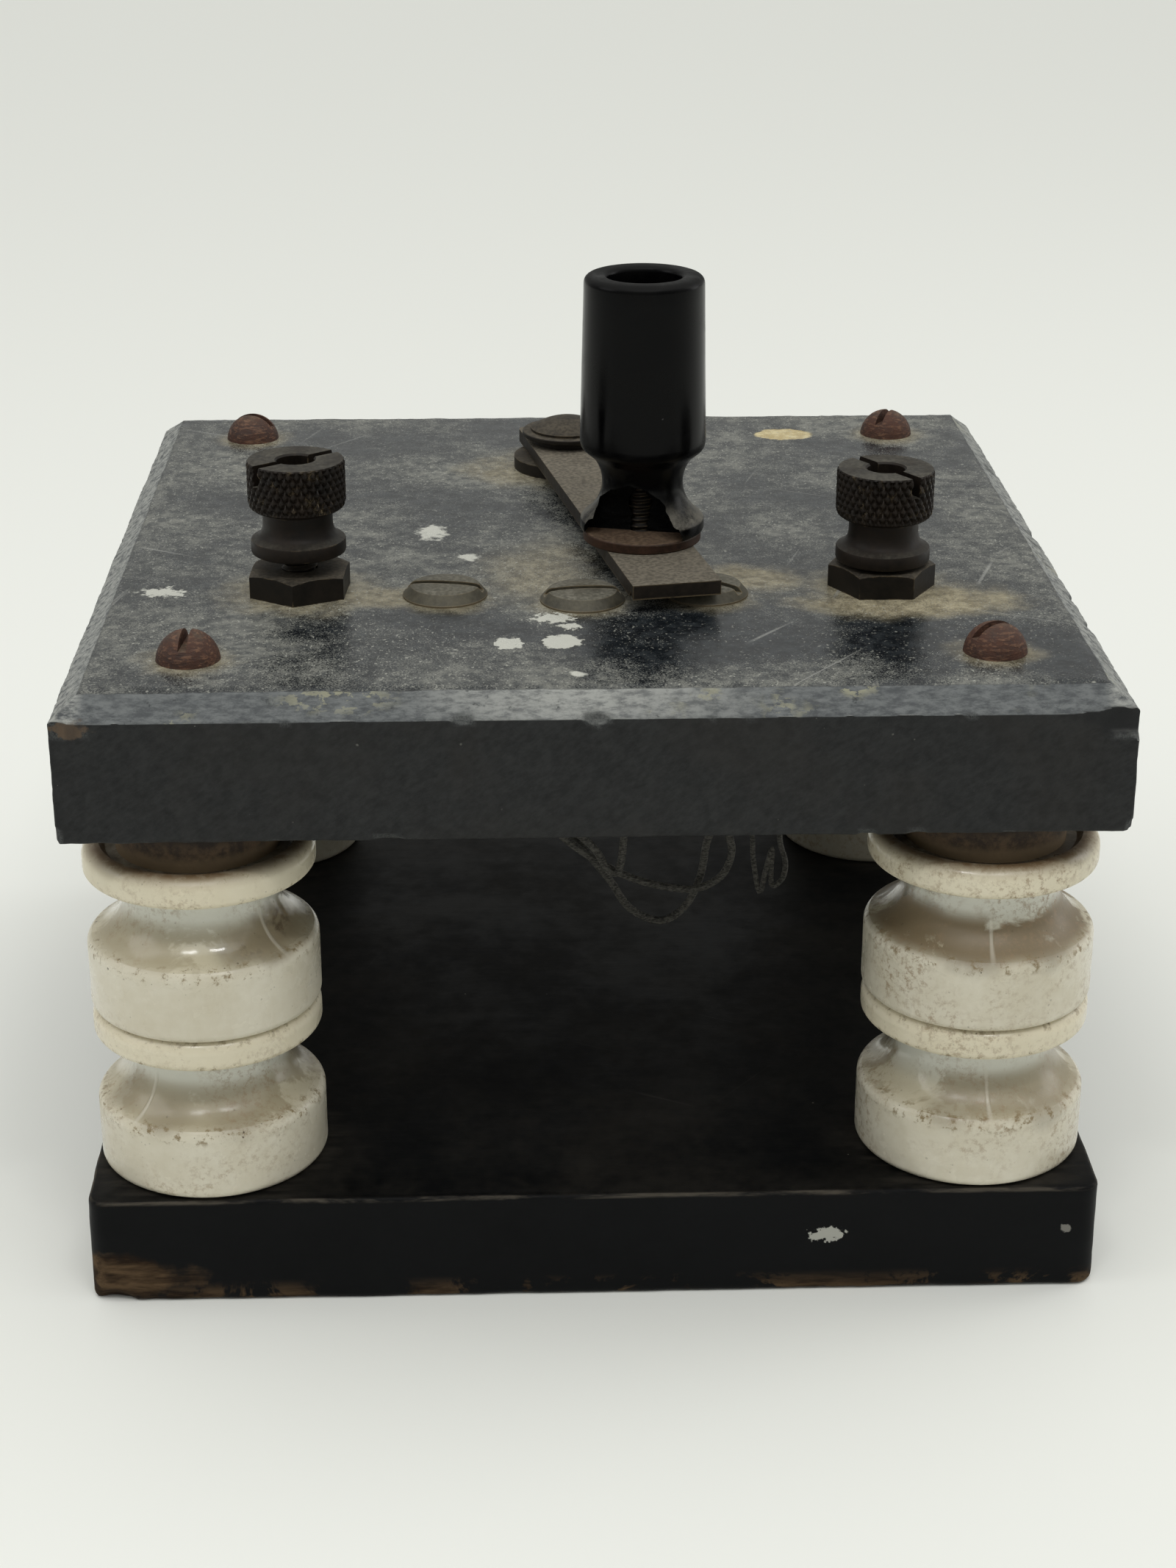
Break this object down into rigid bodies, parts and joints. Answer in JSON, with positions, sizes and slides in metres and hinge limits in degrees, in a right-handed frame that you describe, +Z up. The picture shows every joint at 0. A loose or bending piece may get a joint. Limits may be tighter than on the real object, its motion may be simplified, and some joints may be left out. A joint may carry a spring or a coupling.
{
  "type": "rotary lever switch",
  "caption": "Antique single-pole lever selector switch: slate panel on porcelain knob columns, swinging blade with black handle, contact studs and binding posts.",
  "frame": {"origin": "middle of the base board's underside", "axes": "+Z up, square to the base board; the contact studs and the front edge face -Y, and +X is to the right seen from the front"},
  "size_m": [0.17, 0.17, 0.1594],
  "materials": {
    "black_paint": "worn black paint over brown wood",
    "slate": "dusty honed slate with rough bevels",
    "porcelain": "glossy white glaze, stained in the grooves",
    "leather_seat": "dark brown, dull",
    "rusty_steel": "dark brown rust",
    "dark_steel": "dark, dull",
    "old_brass": "oxidised grey-brown with dust",
    "copper_brown": "oxidised copper-brown",
    "moulded_black": "polished black moulding, worn rim",
    "cotton_wire": "dark cotton covering"
  },
  "bodies": {
    "frame": {"base_board": "black_paint", "slate_panel": "slate", "lower_knob_front_left": "porcelain", "lower_knob_front_right": "porcelain", "lower_knob_rear_left": "porcelain", "lower_knob_rear_right": "porcelain", "upper_knob_front_left": "porcelain", "upper_knob_front_right": "porcelain", "upper_knob_rear_left": "porcelain", "upper_knob_rear_right": "porcelain", "seat_washers": "leather_seat", "corner_screws": "rusty_steel", "contact_stud_1": "old_brass", "contact_stud_2": "old_brass", "contact_stud_3": "old_brass", "contact_washers": "old_brass", "contact_nuts": "old_brass", "contact_lock_nuts": "old_brass", "pivot_spacer": "old_brass", "pivot_screw": "old_brass", "pivot_spring_washer": "dark_steel", "pivot_washer": "old_brass", "pivot_under_washer": "old_brass", "pivot_nut": "old_brass", "pivot_lock_nut": "old_brass", "left_post": "old_brass", "right_post": "old_brass", "left_panel_nut": "old_brass", "right_panel_nut": "old_brass", "post_washers": "old_brass", "post_nuts": "old_brass", "post_lock_nuts": "old_brass", "pivot_wire": "cotton_wire", "jumper_wire": "cotton_wire", "deep_wire": "cotton_wire", "shallow_wire": "cotton_wire", "folded_wire": "cotton_wire"},
    "lever": {"blade": "old_brass", "handle_screw": "copper_brown", "handle_washer": "copper_brown", "handle": "moulded_black", "handle_inner_washer": "copper_brown", "handle_nut": "copper_brown"},
    "left_thumb_nut": {"left_thumb_nut": "old_brass"},
    "right_thumb_nut": {"right_thumb_nut": "old_brass"}
  },
  "joints": [
    {"name": "lever_swing", "type": "hinge", "parent": "frame", "child": "lever", "pos_m": [-0.0012, 0.0435, 0.1117], "axis": [0, 0, 1], "range_deg": [-30, 12]},
    {"name": "left_nut_travel", "type": "slide", "parent": "frame", "child": "left_thumb_nut", "axis": [0, 0, 1], "range_m": [-0.0026, 0.006]},
    {"name": "right_nut_travel", "type": "slide", "parent": "frame", "child": "right_thumb_nut", "axis": [0, 0, 1], "range_m": [-0.0003, 0.0084]}
  ]
}
